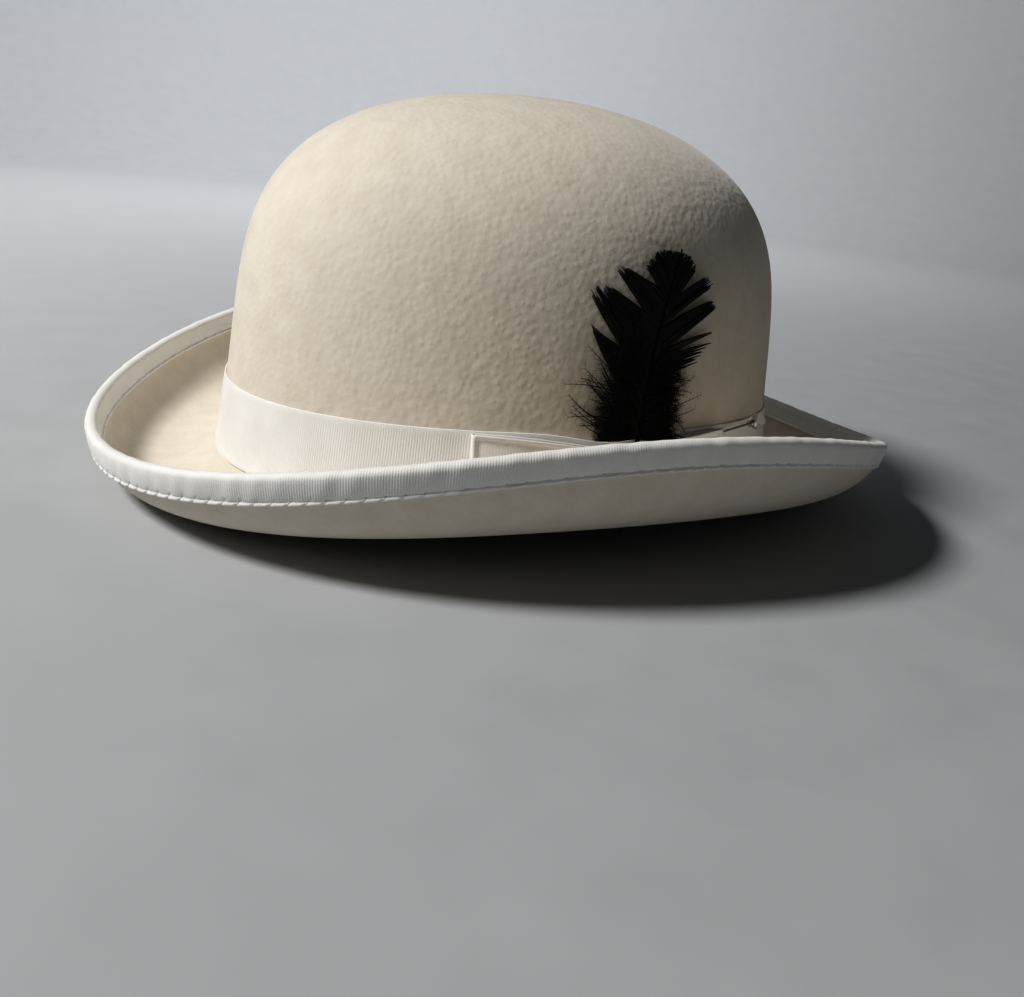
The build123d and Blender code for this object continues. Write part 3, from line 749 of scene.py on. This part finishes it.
# ---- inside of the hat
def sweatband(finish):
    """Leather with a rolled top edge, a pressed line near it, and a butted seam at the back."""
    angle = ring_angles(480)
    height, depth, bulge = ribbon_section(40, cap=7)
    inside = 1 - depth
    place = SWEATBAND_FOOT + height * (SWEATBAND_TOP - SWEATBAND_FOOT) + bulge * LEATHER / 2
    seam = 0.5 * bump_at(angle, math.pi, 0.006)
    press = 0.18 * bump_at(place, SWEATBAND_TOP - 3.0, 0.5)
    ripple = np.clip(0.2 * np.sin(11 * angle), 0, None) * height**2
    outwards = -SWEATBAND_DEPTH - LEATHER * inside + inside * (seam + press) - ripple
    points, faces = hoop(crown_point(angle, place, outwards))
    make_piece("sweatband_leather", points, faces, "hat", "sweatband", finish)


def sweatband_stitches(finish):
    """Row of stitches along the leather's foot."""
    surface = -SWEATBAND_DEPTH - LEATHER

    def line(angle):
        return crown_point(angle, SWEATBAND_STITCH_HEIGHT, surface)

    count = round(girth(line) / SWEATBAND_STITCH_PITCH)
    middle = even_angles(count, line)[:, None]
    reach = np.linspace(-0.5, 0.5, 7)
    angle = middle + reach * SWEATBAND_STITCH_LENGTH * 2 * math.pi / (count * SWEATBAND_STITCH_PITCH)
    arch = np.cos(reach * math.pi) * 0.34 - 0.12
    points, faces = tubes(crown_point(angle, SWEATBAND_STITCH_HEIGHT, surface - arch), 0.2)
    name = "sweatband_thread_stitches"
    make_piece(name, points, faces, "hat", "sweatband_stitches", finish)


def sweatband_bow(finish):
    """Tiny flat bow over the leather's back seam: two loops and a knot."""
    face = -SWEATBAND_DEPTH - LEATHER - 0.45
    half_length = 12.5
    across = np.linspace(-1, 1, 61)[None]
    up = np.linspace(-1, 1, 13)[:, None]
    half_height = 1.3 + 2.2 * np.abs(across) ** 0.8
    loop = 0.75 * np.sin(np.clip(np.abs(across), 0.08, 1) * math.pi) ** 0.6
    crease = 0.12 * np.cos(up * 7) * np.exp(-np.abs(across) * 4)
    angle = math.pi + across * half_length / CROWN_HALF_WIDTH
    wings = crown_point(angle, INNER_BOW_HEIGHT + up * half_height, face - 0.12 - loop - crease)
    knot_half_length = 1.7
    knot_half_height = 1.9
    knot_up = np.linspace(-1, 1, 15)[:, None]
    knot_angle = math.pi + np.linspace(-1, 1, 9)[None] * knot_half_length / CROWN_HALF_WIDTH
    knot_face = face - 1.0 + 0.75 * np.abs(knot_up) ** 3
    knot = crown_point(knot_angle, INNER_BOW_HEIGHT + knot_up * knot_half_height, knot_face)
    points, faces = joined([thick_sheet(wings, 0.22), thick_sheet(knot, 0.3)])
    make_piece("sweatband_ribbon_bow", points, faces, "hat", "sweatband_bow", finish)


def lining_side(finish):
    """Satin side panel, gathered in pleats that deepen towards its top seam."""
    angle = ring_angles(960)
    height, depth, bulge = ribbon_section(60, cap=3)
    place = LINING_FOOT + height * (LINING_SEAM + 0.4 - LINING_FOOT)
    rise = np.clip((place - SWEATBAND_TOP - 2) / (LINING_SEAM - SWEATBAND_TOP), 0, 1)
    pleats = np.abs(np.sin(32 * angle + 0.5 * np.sin(5 * angle) + 0.25 * np.sin(rise * 9 + 3 * angle)))
    hang = 1.5 * np.sin(math.pi * rise) + 0.9 * rise * pleats
    outwards = -FELT - GAP - SATIN * (1 - depth) - hang
    points, faces = hoop(crown_point(angle, place, outwards))
    make_piece("lining_side_satin", points, faces, "hat", "lining_side", finish)


def lining_tip(finish):
    """Oval top panel, with soft puckers that die away from its seam."""
    columns = 480
    angle = ring_angles(columns)
    heights = dome_heights(120)
    heights = heights[heights > LINING_SEAM + 1.0][:, None]
    out_from_top = crown_share(heights) / crown_share(heights).max()
    pucker = 0.5 * np.abs(np.sin(24 * angle + 0.6 * np.sin(4 * angle))) * out_from_top**4
    deepest = 1.2
    sag = deepest * (1 - out_from_top**2)
    outer = crown_point(angle, heights, -FELT - GAP - pucker - sag)
    inner = crown_point(angle, heights, -FELT - GAP - SATIN - pucker - sag)
    level = BREAK_LEVEL + CROWN_HEIGHT - FELT - GAP - deepest
    grid = np.concatenate([outer[::-1], inner])
    points = np.concatenate([grid.reshape(-1, 3), [[0, 0, level], [0, 0, level - SATIN]]])
    faces = shell_faces(len(grid), columns)
    make_piece("lining_tip_satin", points, faces, "hat", "lining_tip", finish)


def lining_cord(finish):
    """Two-ply twisted cord over the seam between the panels."""
    middle = FELT + 2 * GAP + SATIN + CORD + 0.9

    def line(angle):
        return crown_point(angle, LINING_SEAM, -middle)

    lay = 3.2  # length of one turn of a ply
    samples = 8
    count = round(girth(line) / lay) * samples
    angle = even_angles(count, line)[None]
    around = ring_angles(16).T
    phase = np.arange(count)[None] / samples * 2 * math.pi
    radius = CORD * (0.72 + 0.30 * np.abs(np.cos(around - phase / 2)))
    height = LINING_SEAM - radius * np.sin(around)
    points, faces = hoop(crown_point(angle, height, radius * np.cos(around) - middle))
    make_piece("lining_seam_cord", points, faces, "hat", "lining_cord", finish)


# ---- feather
def feather_axes():
    """Foot of the quill, and the feather's axes: back along the hat, up the quill, away from the crown."""
    outwards = RIBBON + 3 * GAP + QUILL_RADIUS[0]
    foot = side_point(*QUILL_FOOT, outwards)
    up = unit(side_point(*QUILL_AIM, outwards) - foot)
    facing = crown_normal(side_angle(*FEATHER_MIDDLE), FEATHER_MIDDLE[1])
    away = unit(facing - up * (facing @ up))
    return foot, np.cross(up, away), up, away


def quill_lean(up):
    """Sideways place of the quill's middle; it bends a little towards the front of the hat."""
    share = np.clip(up / QUILL_LEAN_LENGTH, 0, 1)
    return -QUILL_LEAN * (1 - np.cos(math.pi * share)) / 2


def feather_point(across, up, away):
    """Place beside the quill, in the feather's own curved sheet, which wraps round the crown."""
    foot, rearwards, upwards, outwards = feather_axes()
    radius = FEATHER_CURVE + away
    turn = across / FEATHER_CURVE
    x = radius * np.sin(turn)
    z = radius * np.cos(turn) - FEATHER_CURVE
    return foot + x[..., None] * rearwards + up[..., None] * upwards + z[..., None] * outwards


def barb_headings(across, up):
    """Direction of each barb at each of its points, as (across, up)."""
    step_across = np.gradient(across, axis=1)
    step_up = np.gradient(up, axis=1)
    length = np.hypot(step_across, step_up) + 1e-9
    return step_across / length, step_up / length


def strands(across, up, away, width, thickness):
    """Flat tapered barbs. All arrays are (barbs, points); width and thickness are full sizes."""
    heading_across, heading_up = barb_headings(across, up)
    side_across = -heading_up * width / 2
    side_up = heading_across * width / 2
    half = thickness / 2 + 0 * width
    corners = [(1, 0), (0, 1), (-1, 0), (0, -1)]
    ring = [
        feather_point(across + a * side_across, up + a * side_up, away + b * half) for a, b in corners
    ]
    return np.stack(ring, 2), rod_faces(*across.shape, 4)


# A clump of barbs: the stretch of quill it grows from, where its lowest and highest barbs end, the angle in
# degrees at which they leave the quill, and how many there are. Places are (across, up) from the foot of the
# quill, and across is positive towards the back of the hat.
FRONT_CLUMPS = [
    ((56, 70), (-14.6, 63.8), (-4.0, 70.8), 42, 46),
    ((48, 57), (-23.6, 60.8), (-15.0, 60.6), 58, 36),
    ((34, 48.5), (-29.2, 52.0), (-22.6, 55.2), 66, 46),
    ((27, 37), (-26.8, 44.0), (-24.8, 42.6), 80, 30),
]
REAR_CLUMPS = [
    ((54, 70), (2.6, 67.0), (-2.4, 70.8), 26, 40),
    ((49.5, 55.5), (10.8, 64.2), (7.4, 66.8), 40, 24),
    ((40, 48), (15.4, 58.8), (12.2, 60.6), 44, 30),
    ((38, 40), (17.4, 51.8), (17.0, 52.2), 50, 4),
    ((36.5, 38), (18.4, 48.2), (18.0, 48.8), 56, 3),
    ((35, 37), (16.0, 45.0), (15.4, 45.8), 60, 3),
    ((33.5, 35), (14.4, 42.4), (13.6, 43.2), 64, 3),
]
BARB_STEPS = 14


def clump(roots, low_end, high_end, leave, count):
    """Barbs that hook together into one blade with a ragged end."""
    order = np.linspace(0, 1, count)[:, None]
    run = np.linspace(0, 1, BARB_STEPS)[None]
    side = 1 if low_end[0] > quill_lean(roots[0]) else -1
    root_up = roots[0] + (roots[1] - roots[0]) * order
    root_across = quill_lean(root_up) + side * 0.4
    widening = high_end[0] - low_end[0]
    climb = high_end[1] - low_end[1]
    bulge = 0.12 * np.sin(math.pi * order) * (abs(widening) + abs(climb))
    ragged = 1 + random.uniform(-0.09, 0.03, (count, 1))
    end_across = low_end[0] + widening * order + side * bulge
    end_up = low_end[1] + climb * order + bulge
    end_across = root_across + (end_across - root_across) * ragged
    end_up = root_up + (end_up - root_up) * ragged
    length = np.hypot(end_across - root_across, end_up - root_up)
    bend_across = root_across + side * math.sin(math.radians(leave)) * length * 0.5
    bend_up = root_up + math.cos(math.radians(leave)) * length * 0.5
    across = root_across * (1 - run) ** 2 + 2 * bend_across * run * (1 - run) + end_across * run**2
    up = root_up * (1 - run) ** 2 + 2 * bend_up * run * (1 - run) + end_up * run**2
    away = 0.35 * random.uniform(-1, 1, (count, 1)) * run + 0.25 * np.sin(order * 9) * run + 0.5 * run**2
    width = 1.05 * (1 - 0.75 * run**2.5) + 0 * order
    return across, up, away, width


def vane(name, node, clumps, finish):
    """One side of the feather."""
    parts = [clump(*one) for one in clumps]
    across, up, away, width = (np.concatenate([part[i] for part in parts]) for i in range(4))
    points, faces = strands(across, up, away, width, 0.16)
    make_piece(name, points, faces, "feather", node, finish)


def down_foot(across):
    """How low the down hangs: level with the hat's foot, so lower on the side towards the front."""
    return 15.2 + 0.11 * np.clip(across, 0, None) + 0.2 * np.clip(across, None, 0)


def loose_strands(count, sides, roots, lengths, headings, curls):
    """Curling barbs from random places on the lower quill."""
    steps = 15
    run = np.linspace(0, 1, steps + 1)[None]
    root_up = random.uniform(*roots, (count, 1))
    side = random.choice([-1.0, 1.0], (count, 1), p=sides)
    length = random.uniform(*lengths, (count, 1)) * np.where(side > 0, 0.80, 1.0)
    heading = np.radians(random.uniform(*headings, (count, 1)))
    direction = heading + random.uniform(*curls, (count, 1)) * (run - 0.25)
    step = length / steps
    across = quill_lean(root_up) + side * (0.3 + np.cumsum(np.sin(direction), 1) * step)
    up = root_up + np.cumsum(np.cos(direction), 1) * step
    up = np.maximum(up, down_foot(across) + random.uniform(0, 1.2, (count, 1)))
    away = random.uniform(-0.4, 3.0, (count, 1)) * run + 0.4 * np.sin(run * 5 + 9 * heading)
    width = 0.46 * (1 - 0.8 * run) + 0.06 + 0 * across
    return across, up, away, width


def feather_down(finish):
    """Loose barbs at the foot of the feather, each edged with finer barbules."""
    dense = loose_strands(470, (0.5, 0.5), (14.5, 38), (9, 16.5), (35, 112), (-0.9, 0.9))
    wisps = loose_strands(40, (0.6, 0.4), (14.5, 30), (18, 26), (50, 100), (-1.2, 0.9))
    skirt = loose_strands(170, (0.6, 0.4), (14.0, 19), (8, 15.5), (86, 112), (-0.3, 0.3))
    across, up, away, width = (np.concatenate(parts) for parts in zip(dense, wisps, skirt))
    points, faces = joined([strands(across, up, away, width, 0.14), barbules(across, up, away)])
    make_piece("feather_down_barbs", points, faces, "feather", "feather_down", finish)


def barbules(across, up, away):
    """Fine hairs along both edges of the loose barbs, slanting towards their ends."""
    heading_across, heading_up = barb_headings(across, up)
    forwards = 0.6
    sideways = 0.8
    first_step = 3
    parts = []
    run = np.linspace(0, 1, 3)[None]
    for side in (-1, 1):
        out_across = heading_across * forwards - side * heading_up * sideways
        out_up = heading_up * forwards + side * heading_across * sideways
        for index in range(first_step, across.shape[1]):
            reach = random.uniform(0.8, 2.4, across.shape[0])
            hair_across = across[:, index, None] + (out_across[:, index] * reach)[:, None] * run
            hair_up = up[:, index, None] + (out_up[:, index] * reach)[:, None] * run
            parts.append((
                hair_across,
                np.maximum(hair_up, down_foot(hair_across)),
                away[:, index, None] + 0 * run,
                0.10 * (1 - 0.6 * run) + 0 * reach[:, None],
            ))
    across, up, away, width = (np.concatenate([part[i] for part in parts]) for i in range(4))
    return strands(across, up, away, width, 0.08)


def feather_quill(finish):
    """The feather's tapering shaft."""
    run = np.linspace(0, 1, 60)
    up = QUILL_LENGTH * run
    path = feather_point(quill_lean(up), up, 0 * up)
    radius = QUILL_RADIUS[0] + (QUILL_RADIUS[1] - QUILL_RADIUS[0]) * run
    points, faces = tubes(path[None], radius[None], sides=12)
    make_piece("feather_quill_shaft", points, faces, "feather", "feather_quill", finish)


# ---- hat pin
def pin_ball(finish):
    """The pin's ball, as large as the CAD's."""
    low, high = (np.array(corner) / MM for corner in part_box("pin_head"))
    centre = (low + high) / 2
    radius = (high[0] - low[0]) / 2
    rows = 48
    columns = 96
    turn = np.linspace(0, math.pi, rows + 1)[1:-1, None]
    around = ring_angles(columns)
    x = np.sin(turn) * np.cos(around)
    y = np.sin(turn) * np.sin(around)
    rings = np.stack([x, y, np.cos(turn) + 0 * around], -1).reshape(-1, 3)
    points = centre + radius * np.concatenate([rings, [[0, 0, 1], [0, 0, -1]]])
    faces = shell_faces(rows - 1, columns)
    make_piece("pin_glass_ball", points, faces, "pin", "pin_head", finish)


def keep_cad(node, finish):
    """A CAD piece whose shape is already right gets its finished material."""
    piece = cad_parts[node]
    piece.data.materials.clear()
    piece.data.materials.append(finish)


# ---- stage
def backdrop():
    """Pale floor, in metres, that curves up into a pale wall all round."""
    floor_level = -0.0001  # clears the waves in the brim's underside
    floor_radius = 1.6
    curve = 1.1
    turn = np.linspace(0, math.pi / 2, 25)
    radius = np.concatenate([[0.4, 1.0], floor_radius + curve * np.sin(turn)])[:, None]
    height = floor_level + np.concatenate([[0, 0], curve * (1 - np.cos(turn))])[:, None]
    columns = 96
    around = ring_angles(columns)
    grid = np.stack([radius * np.cos(around), radius * np.sin(around), height + 0 * around], -1)
    faces = [tuple(reversed(face)) for face in grid_faces(len(grid), columns, False, True)]
    faces.append(tuple(range(columns)))
    mesh = bpy.data.meshes.new("backdrop")
    mesh.from_pydata(grid.reshape(-1, 3).tolist(), [], faces)
    mesh.shade_smooth()
    cove = bpy.data.objects.new("backdrop", mesh)
    bpy.context.scene.collection.objects.link(cove)
    finish = plain_material("pale_floor", (0.42, 0.43, 0.44), (0.44, 0.45, 0.46), 0.9, 40, 0.02)
    mesh.materials.append(finish)


def camera():
    """The photograph's viewing angle: from the wearer's left front, a little above, and rolled."""
    azimuth = math.radians(61.9)
    elevation = math.radians(20.2)
    roll = math.radians(-6.45)
    distance = 0.3765
    target = Vector((0, 0.0076, BREAK_LEVEL * MM - 0.0272))
    level_reach = math.cos(elevation)
    back = Vector((math.sin(azimuth) * level_reach, -math.cos(azimuth) * level_reach, math.sin(elevation)))
    level = (-back).cross(Vector((0, 0, 1))).normalized()
    down = (-back).cross(level)
    right = level * math.cos(roll) + down * math.sin(roll)
    up = level * math.sin(roll) - down * math.cos(roll)
    data = bpy.data.cameras.new("camera")
    data.sensor_width = 36
    data.lens = 33.3984375
    data.clip_start = 0.01
    view = bpy.data.objects.new("camera", data)
    place = target + back * distance
    view.matrix_world = Matrix.Translation(place) @ Matrix((right, up, back)).transposed().to_4x4()
    bpy.context.scene.collection.objects.link(view)
    bpy.context.scene.camera = view


def soft_light(name, place, aim, size, power, colour):
    """Round area light; places and size are in metres, and power in watts."""
    data = bpy.data.lights.new(name, "AREA")
    data.shape = "DISK"
    data.size = size
    data.energy = power
    data.color = colour
    lamp = bpy.data.objects.new(name, data)
    lamp.location = place
    lamp.rotation_euler = (Vector(aim) - Vector(place)).to_track_quat("-Z", "Y").to_euler()
    bpy.context.scene.collection.objects.link(lamp)


def studio():
    """A large soft key from the front, a lamp on the far wall, and a little light from everywhere."""
    world = bpy.data.worlds.new("studio")
    world.use_nodes = True
    background = world.node_tree.nodes["Background"]
    background.inputs["Color"].default_value = (0.80, 0.84, 0.90, 1)
    background.inputs["Strength"].default_value = 0.03
    bpy.context.scene.world = world
    key_place = (-0.12, -1.08, 1.10)
    key_aim = (0, -0.04, 0.05)
    soft_light("key", key_place, key_aim, size=0.34, power=21, colour=(1.0, 0.99, 0.975))
    wall_place = (-0.9, 0.3, 1.5)
    wall_aim = (-2.4, 0.5, 0.5)
    soft_light("wall", wall_place, wall_aim, size=1.0, power=33, colour=(0.96, 0.98, 1.0))
    bpy.context.scene.view_settings.view_transform = "Standard"
    bpy.context.scene.view_settings.look = "Medium High Contrast"


def build():
    """Every piece of the hat; the random barbs are drawn in this order."""
    felt = felt_material()
    band = grosgrain_material("band_grosgrain", (0.87, 0.86, 0.835), (0.82, 0.80, 0.76))
    binding = grosgrain_material("binding_grosgrain", (0.85, 0.842, 0.81), (0.79, 0.78, 0.745))
    thread = thread_material()
    satin = satin_material()
    feather = feather_material()
    quill = plain_material("black_quill", (0.003,) * 3, (0.006,) * 3, 0.8, 900, 0.02, gloss=0.1)
    felt_body(felt)
    brim_binding(binding)
    binding_stitches(thread)
    hatband(band)
    band_tacks(thread)
    bow_wing("bow_front_wing_ribbon", "bow_front_wing", -1, FRONT_WING_BACKS, band)
    bow_wing("bow_rear_wing_ribbon", "bow_rear_wing", 1, REAR_WING_BACKS, band)
    bow_knot(band)
    sweatband(leather_material())
    sweatband_stitches(thread)
    sweatband_bow(band)
    lining_side(satin)
    lining_tip(satin)
    lining_cord(plain_material("cord_rayon", (0.74, 0.69, 0.58), (0.66, 0.60, 0.48), 0.45, 2500, 0.05))
    feather_quill(quill)
    vane("feather_front_barbs", "feather_front_vane", FRONT_CLUMPS, feather)
    vane("feather_rear_barbs", "feather_rear_vane", REAR_CLUMPS, feather)
    feather_down(feather)
    pin_ball(glass_material())
    dark = steel_material("dark_steel", (0.20, 0.19, 0.18), (0.30, 0.28, 0.26), 0.32)
    bright = steel_material("bright_steel", (0.55, 0.54, 0.52), (0.45, 0.44, 0.42), 0.25)
    reed = plain_material("reed", (0.72, 0.66, 0.52), (0.60, 0.53, 0.40), 0.5, 800, 0.05)
    tape = plain_material("cotton_tape", (0.62, 0.56, 0.46), (0.52, 0.46, 0.37), 0.8, 1800, 0.08)
    keep_cad("pin_shaft", dark)
    keep_cad("pin_collar", bright)
    keep_cad("sweatband_reed", reed)
    keep_cad("reed_tape", tape)
    keep_cad("sweatband_seam_tape", tape)


build()
backdrop()
camera()
studio()
